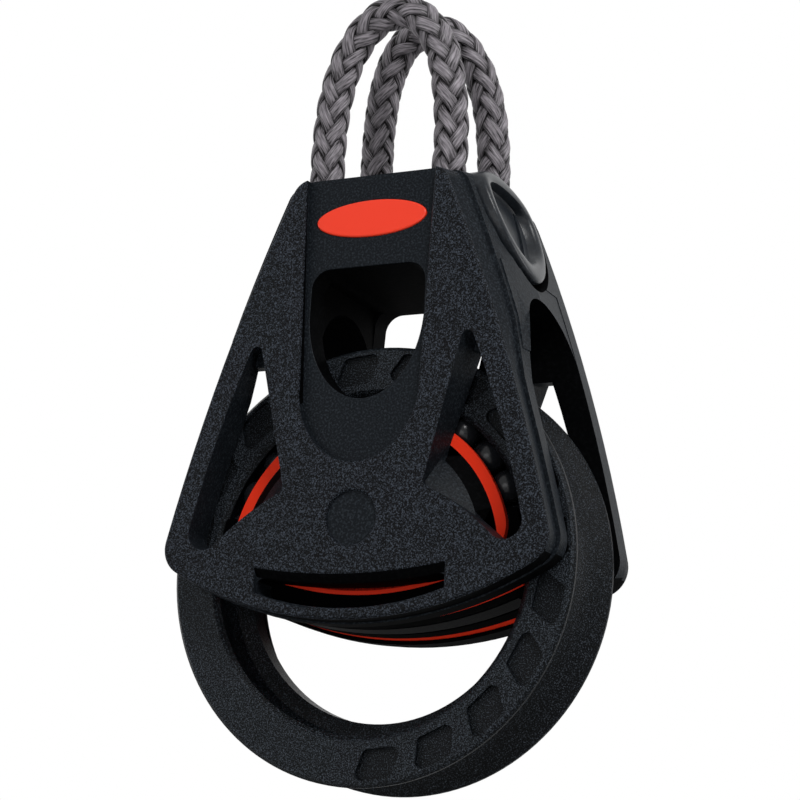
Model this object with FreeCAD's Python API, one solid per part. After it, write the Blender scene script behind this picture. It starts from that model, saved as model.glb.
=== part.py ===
import FreeCAD
import Part
import math
import os

V = FreeCAD.Vector

# A 40 mm recirculating-ball sailing block that hangs by two soft rope loops.
# Millimetres. X runs across the block, Y along the sheave's axle line, Z up.
# The origin is the centre of the sheave.

# Sheave
SHEAVE_R = 20.0
SHEAVE_HALF = 4.9
SHEAVE_EDGE = 0.35
GROOVE_HALF = 4.25
GROOVE_DEPTH = 2.8
BORE_R = 16.0
BORE_CHAMFER = 0.4
RIDGE_R = 14.0
RIDGE_TOP_HALF = 0.9
RIDGE_FOOT_HALF = 1.55
RACE_CURVE_R = 2.6
POCKET_PLACES = 20
BARE_PLACES = 5
FIRST_POCKET_DEG = -83.5
POCKET_LENGTH = 4.6
POCKET_WIDTH = 2.7
POCKET_SKEW = 0.55
POCKET_DEPTH = 0.45
POCKET_R = 18.0

# Balls and the track they run in
BALL_R = 1.5
BALL_PATH_R = 14.3
BALL_Y = 3.1
BALLS_PER_ROW = 21
BALL_PLAY = 0.08
BALL_SEAT_GAP = 0.02
TRACK_BOTTOM_R = 27.0
TRACK_BOTTOM_Z = -1.45
TRACK_CORNER_R = 2.0
RACE_WALL = 1.3
RACE_LIP_RISE = 1.2
RACE_LIP_Y = 4.72
RACE_END_Y = 5.3
RACE_INNER_Y = 1.45

# Ball guide under the return run
GUIDE_ARC_R = 36.0
GUIDE_BOTTOM_Z = -5.55
GUIDE_SIDE_GAP = 0.3
GUIDE_INNER_Y = 1.85
GUIDE_HORN_TOP_Z = 4.4
GUIDE_HORN_GAP = 0.35

# Bearing core
SEPARATOR_HALF = 1.35
SEPARATOR_GAP = 0.3
FIT = 0.05

# Cheeks: the outline of the textured face
FACE_Y = 8.7
LIP_Y = 6.9
INNER_Y = 6.2
TOP_Z = 35.7
TOP_CORNER_R = 2.0
SIDE_LOW = (18.7, 3.0)
SIDE_MID = (14.1, 18.6)
SIDE_HIGH = (8.4, 33.4)
LOW_CORNER_R = 2.6
LOWER_ARC_R = 36.0
LOWER_ARC_Z = -5.75
LIP_OUT = 0.35
FACE_ROUND = 0.3
LIP_ROUND = 0.15
HEAD_ROOF_Z = 26.6

# Cheeks: the scoop, the hole through it and the round recess
SCOOP_HALF_TOP = 6.6
SCOOP_HALF = 6.0
SCOOP_TURN_Z = 15.5
SCOOP_BOTTOM_Z = 8.5
SCOOP_DEPTH = 0.9
HOLE_HALF = 5.75
HOLE_TURN_Z = 22.5
HOLE_TOP_Z = 26.9
HOLE_BOTTOM_Z = 14.5
HOLE_CORNER_R = 1.8
DIAL_Z = 3.35
DIAL_R = 2.45
DIAL_DEPTH = 0.35

# Cheeks: side windows
WINDOW_APEX = (10.5, 21.1)
WINDOW_OUTER_MID = (13.85, 12.3)
WINDOW_OUTER_LOW = (16.4, 3.2)
WINDOW_LOBE = (15.35, 0.95)
WINDOW_FOOT = (13.7, 1.4)
WINDOW_LOWER_MID = (10.5, 4.0)
WINDOW_INNER_LOW = (6.9, 6.1)
WINDOW_CORNER_R = 0.6
RAMP_TOP_R = 8.8
RAMP_FOOT_R = 12.9

# Cheeks: slot over the return run
SLOT_HALF = 9.4
SLOT_TOP_MID_Z = -2.45
SLOT_TOP_END_Z = -1.65
SLOT_LOW_MID_Z = -4.7
SLOT_LOW_END_Z = -3.1
SLOT_CORNER_R = 0.65
BEVEL_RISE = 0.85
BEVEL_DEPTH = 0.7

# Badge inlay
BADGE_Z = 31.5
BADGE_HALF_X = 5.6
BADGE_HALF_Z = 1.75
BADGE_THICK = 0.6
BADGE_PROUD = 0.15

# Saddles in the head's sides
LEAF_TIP_Z = 26.5
LEAF_MID = (3.6, 31.0)
LEAF_SHOULDER = (4.75, 36.0)
LEAF_TOP_Z = 37.2
LEAF_TOP_R = 9.0
LEAF_GAP = 0.55
LEAF_PROUD = 0.9
LEAF_INNER_X = 7.9
LEAF_RIM = 0.95
LEAF_POCKET_DEPTH = 1.6
SADDLE_HALF = 3.35
SADDLE_INNER_X = 4.3
SADDLE_GAP = 0.08

# Rope loops: one endless rope that turns under each saddle
ROPE_D = 3.0
ROPE_CHANNEL_PLAY = 0.22
LOOP_X = 6.15
LOOP_Y = 5.05
TURN_Z = 34.2
LOOP_ROUTE = [
    (-LOOP_X, 0.0, 29.15),
    (-LOOP_X, -2.9, 29.15),
    (-LOOP_X, -4.95, 31.3),
    (-6.25, -LOOP_Y, 35.0),
    (-6.3, -5.0, 40.6),
    (-5.85, -5.1, 45.6),
    (-4.6, -5.0, 49.9),
    (-1.9, -5.1, 53.0),
    (2.0, -5.1, 53.1),
    (4.7, -5.0, 49.7),
    (5.9, -5.1, 45.4),
    (6.25, -5.0, 40.4),
    (6.2, -LOOP_Y, 35.0),
    (LOOP_X, -4.95, 31.3),
    (LOOP_X, -2.9, 29.15),
    (LOOP_X, 0.0, 29.15),
]

# Pins
HUB_PIN_R = 1.25
HUB_PIN_X = 5.3
HUB_PIN_Z = 3.2
HUB_PIN_HALF = 7.4
HEAD_PIN_R = 1.0
HEAD_PIN_X = 2.7
HEAD_PIN_Z = 29.2
HEAD_PIN_HALF = 6.4
PIN_CLEARANCE = 0.02

BIG = 80.0
FLAT = 1e-5
MID = (0.0, 0.0)


def circle_through(a, b, c):
    """Centre and radius of the circle through three points in the XZ plane."""
    ax, az = a
    bx, bz = b
    cx, cz = c
    d = 2 * (ax * (bz - cz) + bx * (cz - az) + cx * (az - bz))
    sa = ax * ax + az * az
    sb = bx * bx + bz * bz
    sc = cx * cx + cz * cz
    ux = (sa * (bz - cz) + sb * (cz - az) + sc * (az - bz)) / d
    uz = (sa * (cx - bx) + sb * (ax - cx) + sc * (bx - ax)) / d
    return (ux, uz), math.hypot(ax - ux, az - uz)


def disc(centre, radius):
    """A round face in the XZ plane."""
    edge = Part.makeCircle(radius, V(centre[0], 0, centre[1]), V(0, 1, 0))
    return Part.Face(Part.Wire([edge]))


def overlap(faces):
    """The face that several flat faces share."""
    shared = faces[0]
    for other in faces[1:]:
        shared = shared.common(other)
    return shared.Faces[0]


def prism(face, y0, y1):
    """A flat XZ face pushed from y0 to y1."""
    moved = face.copy()
    moved.translate(V(0, y0, 0))
    return moved.extrude(V(0, y1 - y0, 0))


def closed_face(edges):
    return Part.Face(Part.Wire([e.toShape() for e in edges]))


def at(x, z):
    return V(x, 0, z)


def box_between(x0, x1, y0, y1, z0, z1):
    return Part.makeBox(x1 - x0, y1 - y0, z1 - z0, V(x0, y0, z0))


def fillet_along_y(solid, radius, wanted=None):
    """Round the straight edges that run along Y, all of them or those that wanted picks."""
    edges = []
    for edge in solid.Edges:
        if len(edge.Vertexes) != 2:
            continue
        a, b = edge.Vertexes[0].Point, edge.Vertexes[1].Point
        if abs(a.x - b.x) + abs(a.z - b.z) > 1e-6:
            continue
        if wanted is None or wanted(a):
            edges.append(edge)
    return solid.makeFillet(radius, edges)


def tube_along(points, radius):
    """A round tube along straight runs joined by tangent arcs. Returns it and its length."""
    pts = [V(*p) for p in points]
    edges = []
    start = pts[0]
    length = 0.0
    radii = []
    for i in range(1, len(pts) - 1):
        before = pts[i] - pts[i - 1]
        after = pts[i + 1] - pts[i]
        u = V(before).normalize()
        w = V(after).normalize()
        turn = u.getAngle(w)
        bend = 0.45 * min(before.Length, after.Length) / math.tan(turn / 2)
        setback = bend * math.tan(turn / 2)
        enter = pts[i] - u * setback
        leave = pts[i] + w * setback
        inward = (w - u).normalize()
        centre = pts[i] + inward * (bend / math.cos(turn / 2))
        middle = centre - inward * bend
        edges.append(Part.LineSegment(start, enter).toShape())
        edges.append(Part.Arc(enter, middle, leave).toShape())
        length += (enter - start).Length + bend * turn
        radii.append(bend)
        start = leave
    edges.append(Part.LineSegment(start, pts[-1]).toShape())
    length += (pts[-1] - start).Length
    path = Part.Wire(edges)
    first = (pts[1] - pts[0]).normalize()
    section = Part.Wire([Part.makeCircle(radius, pts[0], first)])
    return path.makePipeShell([section], True, False), length, radii


# The track is a D: an upper arc about the axle line and a shallow lower arc, joined by round corners.
# Every surface of the ball path is this D with all its radii changed by the same amount.
TRACK_R = BALL_PATH_R - BALL_R - BALL_SEAT_GAP
LOWER_CENTRE_Z = TRACK_BOTTOM_Z + TRACK_BOTTOM_R


def track_corner():
    """Centre of the right-hand corner arc of the D."""
    upper = TRACK_R - TRACK_CORNER_R
    lower = TRACK_BOTTOM_R - TRACK_CORNER_R
    z = (upper ** 2 - lower ** 2 + LOWER_CENTRE_Z ** 2) / (2 * LOWER_CENTRE_Z)
    return math.sqrt(upper ** 2 - z ** 2), z


def track_face(out):
    """The D with all its radii grown by out."""
    cx, cz = track_corner()
    upper = TRACK_R + out
    lower = TRACK_BOTTOM_R + out
    corner = TRACK_CORNER_R + out
    high = math.atan2(cz, cx)
    low = math.atan2(cz - LOWER_CENTRE_Z, cx)
    side = (high + low) / 2
    a = at(upper * math.cos(high), upper * math.sin(high))
    b = at(cx + corner * math.cos(side), cz + corner * math.sin(side))
    c = at(lower * math.cos(low), LOWER_CENTRE_Z + lower * math.sin(low))
    bottom = at(0, LOWER_CENTRE_Z - lower)
    c2, b2, a2 = at(-c.x, c.z), at(-b.x, b.z), at(-a.x, a.z)
    edges = [Part.Arc(a, b, c), Part.Arc(c, bottom, c2), Part.Arc(c2, b2, a2)]
    edges.append(Part.Arc(a2, at(0, upper), a))
    return closed_face(edges)


def ball_centres():
    """Evenly spaced places of one row's balls round the D."""
    cx, cz = track_corner()
    out = BALL_R + BALL_SEAT_GAP
    high = math.atan2(cz, cx)
    low = math.atan2(cz - LOWER_CENTRE_Z, cx)
    upper = TRACK_R + out
    lower = TRACK_BOTTOM_R + out
    corner = TRACK_CORNER_R + out
    stretches = [
        ((0.0, 0.0), upper, math.pi - high, high),
        ((cx, cz), corner, high, low),
        ((0.0, LOWER_CENTRE_Z), lower, low, -math.pi - low),
        ((-cx, cz), corner, -math.pi - low, -math.pi - high),
    ]
    total = sum(r * (a0 - a1) for _, r, a0, a1 in stretches)
    places = []
    for i in range(BALLS_PER_ROW):
        s = total * i / BALLS_PER_ROW
        for centre, r, a0, a1 in stretches:
            run = r * (a0 - a1)
            if s <= run:
                angle = a0 - s / r
                places.append((centre[0] + r * math.cos(angle), centre[1] + r * math.sin(angle)))
                break
            s -= run
    return places


# Sheave

def sheave_section():
    """Half of the ring's section, as points and arcs in the plane of radius and Y."""
    race_top = BALL_PATH_R + BALL_R + BALL_PLAY
    race_centre = race_top - RACE_CURVE_R
    foot_r = race_centre + math.sqrt(RACE_CURVE_R ** 2 - (BALL_Y - RIDGE_FOOT_HALF) ** 2)
    mouth_y = SHEAVE_HALF - BORE_CHAMFER
    mouth_r = race_centre + math.sqrt(RACE_CURVE_R ** 2 - (mouth_y - BALL_Y) ** 2)
    groove_r = (GROOVE_HALF ** 2 + GROOVE_DEPTH ** 2) / (2 * GROOVE_DEPTH)
    groove_quarter = math.asin(GROOVE_HALF / groove_r) / 2
    groove_floor = SHEAVE_R - GROOVE_DEPTH

    def p(r, y):
        return V(r, y, 0)

    groove_mid = p(groove_floor + groove_r * (1 - math.cos(groove_quarter)), groove_r * math.sin(groove_quarter))
    top, bottom = [], []
    for s, store in ((1, top), (-1, bottom)):
        def q(r, y):
            return V(r, s * y, 0)
        store.append(Part.LineSegment(q(RIDGE_R, 0), q(RIDGE_R, RIDGE_TOP_HALF)))
        store.append(Part.LineSegment(q(RIDGE_R, RIDGE_TOP_HALF), q(foot_r, RIDGE_FOOT_HALF)))
        store.append(Part.Arc(q(foot_r, RIDGE_FOOT_HALF), q(race_top, BALL_Y), q(mouth_r, mouth_y)))
        store.append(Part.LineSegment(q(mouth_r, mouth_y), q(BORE_R, SHEAVE_HALF)))
        store.append(Part.LineSegment(q(BORE_R, SHEAVE_HALF), q(SHEAVE_R - SHEAVE_EDGE, SHEAVE_HALF)))
        store.append(Part.LineSegment(q(SHEAVE_R - SHEAVE_EDGE, SHEAVE_HALF),
                                      q(SHEAVE_R, SHEAVE_HALF - SHEAVE_EDGE)))
        store.append(Part.LineSegment(q(SHEAVE_R, SHEAVE_HALF - SHEAVE_EDGE), q(SHEAVE_R, GROOVE_HALF)))
        store.append(Part.Arc(q(SHEAVE_R, GROOVE_HALF), q(groove_mid.x, groove_mid.y), q(groove_floor, 0)))
    edges = [e.toShape() for e in top] + [e.toShape() for e in bottom]
    return Part.Face(Part.Wire(Part.__sortEdges__(edges)))


def flange_pocket(angle_deg):
    """One skewed six-sided pocket in the front flange."""
    half_l = POCKET_LENGTH / 2
    half_w = POCKET_WIDTH / 2
    corners = [
        (-half_l, -half_w + POCKET_SKEW), (-half_l + POCKET_SKEW, -half_w), (half_l - POCKET_SKEW * 2, -half_w),
        (half_l, half_w - POCKET_SKEW), (half_l - POCKET_SKEW, half_w), (-half_l + POCKET_SKEW * 2, half_w),
    ]
    pts = [at(x, z + POCKET_R) for x, z in corners]
    wire = Part.makePolygon(pts + [pts[0]])
    block = prism(Part.Face(wire), -SHEAVE_HALF - 1, -SHEAVE_HALF + POCKET_DEPTH)
    block = fillet_along_y(block, POCKET_SKEW)
    block.rotate(V(0, 0, 0), V(0, 1, 0), angle_deg)
    return block


def sheave():
    ring = sheave_section().revolve(V(0, 0, 0), V(0, 1, 0), 360)
    ring = Part.Solid(ring.Shells[0]) if not ring.Solids else ring.Solids[0]
    pockets = []
    for i in range(POCKET_PLACES - BARE_PLACES):
        front = flange_pocket(90 - FIRST_POCKET_DEG - i * 360.0 / POCKET_PLACES)
        pockets.append(front)
        pockets.append(front.rotated(V(0, 0, 0), V(0, 0, 1), 180))
    return ring.cut(Part.makeCompound(pockets))


# Bearing

def race(side):
    """The closed D-shaped inner race of one ball row, with a guard lip on its outer side."""
    body = prism(track_face(0), RACE_INNER_Y, RACE_END_Y)
    lip = prism(track_face(RACE_LIP_RISE), RACE_LIP_Y, RACE_END_Y)
    hollow = prism(track_face(-RACE_WALL), 0, BIG)
    ring = body.fuse(lip).cut(hollow).removeSplitter()
    return on_side(ring, side)


def guide_outline():
    outer = disc((0, GUIDE_BOTTOM_Z + GUIDE_ARC_R), GUIDE_ARC_R)
    race_mouth = BALL_PATH_R + BALL_R + BALL_PLAY - GUIDE_SIDE_GAP - BORE_CHAMFER
    return overlap([disc(MID, race_mouth), outer])


def ball_guide(side):
    """The smile-shaped outer guide of the return run, with a horn up each side."""
    keep_out = track_face(2 * BALL_R + 2 * BALL_SEAT_GAP + BALL_PLAY)
    smile = prism(guide_outline(), GUIDE_INNER_Y, RACE_END_Y).cut(prism(keep_out, 0, BIG))
    horns = prism(guide_outline(), RACE_LIP_Y, RACE_END_Y).cut(
        prism(track_face(RACE_LIP_RISE + GUIDE_HORN_GAP), 0, BIG))
    horns = horns.cut(box_between(-BIG, BIG, 0, BIG, GUIDE_HORN_TOP_Z, BIG))
    return on_side(smile.fuse(horns).removeSplitter(), side)


def ball_row(side):
    balls = [Part.makeSphere(BALL_R, V(x, side * BALL_Y, z)) for x, z in ball_centres()]
    return Part.makeCompound(balls)


def core():
    """The hub that carries both races and keeps the ball rows apart."""
    hub = prism(track_face(-RACE_WALL - FIT), -RACE_END_Y, RACE_END_Y)
    wall = overlap([disc(MID, RIDGE_R - SEPARATOR_GAP),
                    disc((0, GUIDE_BOTTOM_Z + GUIDE_ARC_R), GUIDE_ARC_R)])
    separator = prism(wall, -SEPARATOR_HALF, SEPARATOR_HALF)
    return hub.fuse(separator).cut(pin_holes()).removeSplitter()


def pin_holes():
    holes = [pin(x, HUB_PIN_Z, HUB_PIN_R + PIN_CLEARANCE, HUB_PIN_HALF + PIN_CLEARANCE)
             for x in (-HUB_PIN_X, HUB_PIN_X)]
    holes += [pin(x, HEAD_PIN_Z, HEAD_PIN_R + PIN_CLEARANCE, HEAD_PIN_HALF + PIN_CLEARANCE)
              for x in (-HEAD_PIN_X, HEAD_PIN_X)]
    return Part.makeCompound(holes)


def pin(x, z, radius, half):
    return Part.makeCylinder(radius, 2 * half, V(x, -half, z), V(0, 1, 0))


def on_side(shape, side):
    return shape if side > 0 else shape.mirror(V(0, 0, 0), V(0, 1, 0))


# Cheeks

def cheek_outline(out):
    """The cheek's front outline, grown by out on its sides and its lower edge."""
    centre, radius = circle_through(SIDE_LOW, SIDE_MID, SIDE_HIGH)
    right = disc(centre, radius + out)
    left = disc((-centre[0], centre[1]), radius + out)
    lower = disc((0, LOWER_ARC_Z + LOWER_ARC_R), LOWER_ARC_R + out / 2)
    top = Part.Face(Part.makePolygon([at(-BIG, -BIG), at(BIG, -BIG), at(BIG, TOP_Z), at(-BIG, TOP_Z),
                                      at(-BIG, -BIG)]))
    return overlap([right, left, lower, top])


def rounded_slab(out, y0, y1):
    slab = prism(cheek_outline(out), y0, y1)
    slab = fillet_along_y(slab, LOW_CORNER_R, lambda p: p.z < SIDE_MID[1])
    return fillet_along_y(slab, TOP_CORNER_R, lambda p: p.z > SIDE_MID[1])


def scoop():
    """The shallow channel down the middle of the face: open at the top, round at the foot."""
    ellipse = Part.Ellipse(at(0, SCOOP_BOTTOM_Z), at(SCOOP_HALF, SCOOP_TURN_Z), at(0, SCOOP_TURN_Z))
    low, high = at(-SCOOP_HALF, SCOOP_TURN_Z), at(SCOOP_HALF, SCOOP_TURN_Z)
    edges = [
        Part.ArcOfEllipse(ellipse, -math.pi / 2, math.pi / 2),
        Part.LineSegment(high, at(SCOOP_HALF_TOP, TOP_Z + 1)),
        Part.LineSegment(at(SCOOP_HALF_TOP, TOP_Z + 1), at(-SCOOP_HALF_TOP, TOP_Z + 1)),
        Part.LineSegment(at(-SCOOP_HALF_TOP, TOP_Z + 1), low),
    ]
    return prism(closed_face(edges), FACE_Y - SCOOP_DEPTH, FACE_Y + 1)


def eye():
    """The D-shaped hole through the scoop."""
    ellipse = Part.Ellipse(at(0, HOLE_BOTTOM_Z), at(HOLE_HALF, HOLE_TURN_Z), at(0, HOLE_TURN_Z))
    lower = prism(Part.Face(Part.Wire([ellipse.toShape()])), 0, FACE_Y + 1)
    lower = lower.common(box_between(-BIG, BIG, 0, BIG, -BIG, HOLE_TURN_Z))
    upper = box_between(-HOLE_HALF, HOLE_HALF, 0, FACE_Y + 1, HOLE_TURN_Z, HOLE_TOP_Z)
    upper = fillet_along_y(upper, HOLE_CORNER_R, lambda p: p.z > HOLE_TURN_Z + 0.1)
    return lower.fuse(upper).removeSplitter()


def window():
    """The right-hand side window, right through the cheek."""
    edges = [
        Part.Arc(at(*WINDOW_APEX), at(*WINDOW_OUTER_MID), at(*WINDOW_OUTER_LOW)),
        Part.Arc(at(*WINDOW_OUTER_LOW), at(*WINDOW_LOBE), at(*WINDOW_FOOT)),
        Part.Arc(at(*WINDOW_FOOT), at(*WINDOW_LOWER_MID), at(*WINDOW_INNER_LOW)),
        Part.LineSegment(at(*WINDOW_INNER_LOW), at(*WINDOW_APEX)),
    ]
    cutter = prism(closed_face(edges), 0, FACE_Y + 1)
    return fillet_along_y(cutter, WINDOW_CORNER_R, lambda p: p.z > WINDOW_OUTER_LOW[1] + 0.1)


def ramp():
    """The slope in the window's inner corner that leads down to the race."""
    slope = Part.makeCone(RAMP_FOOT_R, RAMP_TOP_R, FACE_Y - RACE_END_Y, V(0, RACE_END_Y, 0), V(0, 1, 0))
    return slope.fuse(Part.makeCylinder(RAMP_FOOT_R, RACE_END_Y, V(0, 0, 0), V(0, 1, 0)))


def slot_wire(rise, y):
    """The slot's outline at one depth, its upper edge raised by rise."""
    half = SLOT_HALF
    top_mid = V(0, y, SLOT_TOP_MID_Z + rise)
    tr = V(half, y, SLOT_TOP_END_Z + rise)
    tl = V(-half, y, SLOT_TOP_END_Z + rise)
    low_mid = V(0, y, SLOT_LOW_MID_Z)
    br = V(half, y, SLOT_LOW_END_Z)
    bl = V(-half, y, SLOT_LOW_END_Z)
    return Part.Wire([Part.Arc(tl, top_mid, tr).toShape(), Part.LineSegment(tr, br).toShape(),
                      Part.Arc(br, low_mid, bl).toShape(), Part.LineSegment(bl, tl).toShape()])


def slot():
    through = Part.Face(slot_wire(0, 0)).extrude(V(0, FACE_Y + 1, 0))
    through = fillet_along_y(through, SLOT_CORNER_R)
    bevel = Part.makeLoft([slot_wire(0, FACE_Y - BEVEL_DEPTH), slot_wire(BEVEL_RISE, FACE_Y)], True)
    skim = Part.Face(slot_wire(BEVEL_RISE, FACE_Y)).extrude(V(0, 1, 0))
    return through.fuse(bevel).fuse(skim)


def leaf_face(out):
    """The leaf outline of a saddle's cap, as seen along X: its XZ plane stands for YZ."""
    centre, radius = circle_through((0.0, LEAF_TIP_Z), LEAF_MID, LEAF_SHOULDER)
    right = disc(centre, radius + out)
    left = disc((-centre[0], centre[1]), radius + out)
    top = disc((0, LEAF_TOP_Z - LEAF_TOP_R), LEAF_TOP_R + out)
    return overlap([right, left, top])


def along_x(face, x0, x1):
    """A face drawn in XZ, turned so that its X lies along Y, and pushed from x0 to x1."""
    block = prism(face, 0, x1 - x0)
    block.rotate(V(0, 0, 0), V(0, 0, 1), -90)
    block.translate(V(x0, 0, 0))
    return block


def saddle_face(out):
    """The inner body of a saddle: round below, straight up to the top."""
    half = SADDLE_HALF + out
    edges = [
        Part.LineSegment(at(-half, LEAF_TOP_Z - 1.2), at(-half, TURN_Z)),
        Part.Arc(at(-half, TURN_Z), at(0, TURN_Z - half), at(half, TURN_Z)),
        Part.LineSegment(at(half, TURN_Z), at(half, LEAF_TOP_Z - 1.2)),
        Part.LineSegment(at(half, LEAF_TOP_Z - 1.2), at(-half, LEAF_TOP_Z - 1.2)),
    ]
    return closed_face(edges)


def saddle():
    """The right-hand saddle: a leaf-shaped cap with a pocket, on a body that the rope turns under."""
    centre, radius = circle_through(SIDE_LOW, SIDE_MID, SIDE_HIGH)
    cap = along_x(leaf_face(0), LEAF_INNER_X, BIG)
    cap = cap.common(prism(disc(centre, radius + LIP_OUT + LEAF_PROUD), -BIG, BIG))
    pocket = along_x(leaf_face(-LEAF_RIM), LEAF_INNER_X - 1, BIG)
    pocket = pocket.cut(prism(disc(centre, radius + LIP_OUT + LEAF_PROUD - LEAF_POCKET_DEPTH), -BIG, BIG))
    pocket = pocket.cut(box_between(-BIG, LEAF_INNER_X + 0.4, -BIG, BIG, -BIG, BIG))
    body = along_x(saddle_face(0), SADDLE_INNER_X, LEAF_INNER_X)
    return cap.cut(pocket).fuse(body).removeSplitter()


def saddle_room():
    """What a cheek leaves open for the right-hand saddle."""
    cap = along_x(leaf_face(LEAF_GAP), LEAF_INNER_X - 0.1, BIG)
    body = along_x(saddle_face(SADDLE_GAP), SADDLE_INNER_X - SADDLE_GAP, LEAF_INNER_X)
    return cap.fuse(body)


def rope_room():
    """The channels of the whole rope, wider than it by the play."""
    radius = ROPE_D / 2 + ROPE_CHANNEL_PLAY
    front = tube_along(LOOP_ROUTE, radius)[0]
    rear = tube_along([(x, -y, z) for x, y, z in LOOP_ROUTE], radius)[0]
    joints = [Part.makeSphere(radius, V(x, 0, LOOP_ROUTE[0][2])) for x in (-LOOP_X, LOOP_X)]
    return Part.makeCompound([front, rear] + joints)


def cheek():
    """The rear cheek. The front one is its mirror image, with the badge's place cut in."""
    face = rounded_slab(0, INNER_Y, FACE_Y)
    lip = rounded_slab(LIP_OUT, INNER_Y, LIP_Y)
    head = rounded_slab(LIP_OUT, 0, INNER_Y)
    head = head.common(box_between(-BIG, BIG, 0, BIG, HEAD_ROOF_Z, BIG))
    seat = prism(overlap([disc(MID, RAMP_FOOT_R), disc((0, GUIDE_BOTTOM_Z + GUIDE_ARC_R), GUIDE_ARC_R)]),
                 RACE_END_Y, INNER_Y)
    dial = Part.makeCylinder(DIAL_R, DIAL_DEPTH + 1, V(0, FACE_Y - DIAL_DEPTH, DIAL_Z), V(0, 1, 0))
    body = face.fuse(lip).fuse(head).fuse(seat)
    for cutter in (scoop(), slot(), dial):
        body = body.cut(cutter)
    body = round_edges_at(body.removeSplitter(), FACE_Y, FACE_ROUND)
    body = round_edges_at(body.cut(eye()), FACE_Y - SCOOP_DEPTH, LIP_ROUND,
                          lambda p: abs(p.x) <= HOLE_HALF and p.z < HOLE_TOP_Z + 0.01)
    cuts = [window().cut(ramp()), saddle_room()]
    for cutter in cuts + [mirrored_x(c) for c in cuts] + [rope_room(), pin_holes()]:
        body = body.cut(cutter)
    return body.removeSplitter()


def round_edges_at(body, y, radius, wanted=lambda p: True):
    """Round the edges that lie in the plane at y, all of them or those that wanted picks."""
    edges = [e for e in body.Edges if abs(e.BoundBox.YMin - y) < FLAT and e.BoundBox.YLength < FLAT
             and all(wanted(v.Point) for v in e.Vertexes)]
    return body.makeFillet(radius, edges)


def mirrored_x(shape):
    return shape.mirror(V(0, 0, 0), V(1, 0, 0))


def badge_face(out):
    ellipse = Part.Ellipse(at(BADGE_HALF_X + out, BADGE_Z), at(0, BADGE_Z + BADGE_HALF_Z + out), at(0, BADGE_Z))
    return Part.Face(Part.Wire([ellipse.toShape()]))


def badge():
    floor = -(FACE_Y - SCOOP_DEPTH)
    plate = prism(badge_face(0), floor - BADGE_PROUD, floor - BADGE_PROUD + BADGE_THICK)
    return round_edges_at(plate, plate.BoundBox.YMin, BADGE_PROUD)


def front_cheek():
    body = cheek().mirror(V(0, 0, 0), V(0, 1, 0))
    floor = -(FACE_Y - SCOOP_DEPTH)
    return body.cut(prism(badge_face(FIT), floor - 1, floor - BADGE_PROUD + BADGE_THICK))


def loop(side):
    route = [(x, -side * y, z) for x, y, z in LOOP_ROUTE]
    solid, length, radii = tube_along(route, ROPE_D / 2)
    section = math.pi * (ROPE_D / 2) ** 2
    print("loop length %.2f volume %.2f of %.2f" % (length, solid.Volume, section * length))
    print("arc radii", [round(r, 2) for r in radii])
    return solid


def write(name, shape):
    if not shape.isValid():
        print("INVALID", name)
    print("%-16s %d solids %9.2f mm3" % (name, len(shape.Solids), shape.Volume))
    shape.exportStep("parts/%s.step" % name)


def main():
    os.makedirs("parts", exist_ok=True)
    write("front_cheek", front_cheek())
    write("rear_cheek", cheek())
    write("badge", badge())
    write("sheave", sheave())
    write("bearing_core", core())
    for name, side in (("front", -1), ("rear", 1)):
        write(name + "_race", race(side))
        write(name + "_ball_guide", ball_guide(side))
        write(name + "_balls", ball_row(side))
        write(name + "_loop", loop(side))
    right = saddle()
    write("right_saddle", right)
    write("left_saddle", mirrored_x(right))
    for name, s in (("left", -1), ("right", 1)):
        write(name + "_hub_pin", pin(s * HUB_PIN_X, HUB_PIN_Z, HUB_PIN_R, HUB_PIN_HALF))
        write(name + "_head_pin", pin(s * HEAD_PIN_X, HEAD_PIN_Z, HEAD_PIN_R, HEAD_PIN_HALF))


main()
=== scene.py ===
import bmesh
import bpy
import math
import numpy as np
from mathutils import Matrix, Vector


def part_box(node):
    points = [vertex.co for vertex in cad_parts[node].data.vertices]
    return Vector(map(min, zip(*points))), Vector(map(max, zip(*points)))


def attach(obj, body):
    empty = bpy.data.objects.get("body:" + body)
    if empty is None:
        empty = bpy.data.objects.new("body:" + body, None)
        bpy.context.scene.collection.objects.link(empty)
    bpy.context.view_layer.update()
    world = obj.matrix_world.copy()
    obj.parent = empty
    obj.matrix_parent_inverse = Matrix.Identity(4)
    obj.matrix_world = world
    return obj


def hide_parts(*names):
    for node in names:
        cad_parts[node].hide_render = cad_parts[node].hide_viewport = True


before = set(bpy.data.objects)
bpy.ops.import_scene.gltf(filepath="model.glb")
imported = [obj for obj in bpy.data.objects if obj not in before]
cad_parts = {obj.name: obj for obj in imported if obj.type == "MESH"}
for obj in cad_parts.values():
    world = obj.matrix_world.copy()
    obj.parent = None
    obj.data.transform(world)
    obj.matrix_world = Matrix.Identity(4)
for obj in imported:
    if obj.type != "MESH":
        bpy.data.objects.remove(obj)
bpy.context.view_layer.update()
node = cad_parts

# The block's sizes below are in millimetres, and Blender's in metres.
MM = 0.001


# The studio.
# The block hangs over a pale floor, and a long lens looks up at it from its lower right.
# A large soft light stands to the right and above, with weaker ones on the left, below and behind.

TURN_DEG = 26.511
RISE_DEG = -14.055
TILT_DEG = 3.059
DISTANCE = 211.478 * MM
LOOK_AT = Vector((0.017, 0.0, 16.212)) * MM
LENS = 102.18
SENSOR = 36.0


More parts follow.
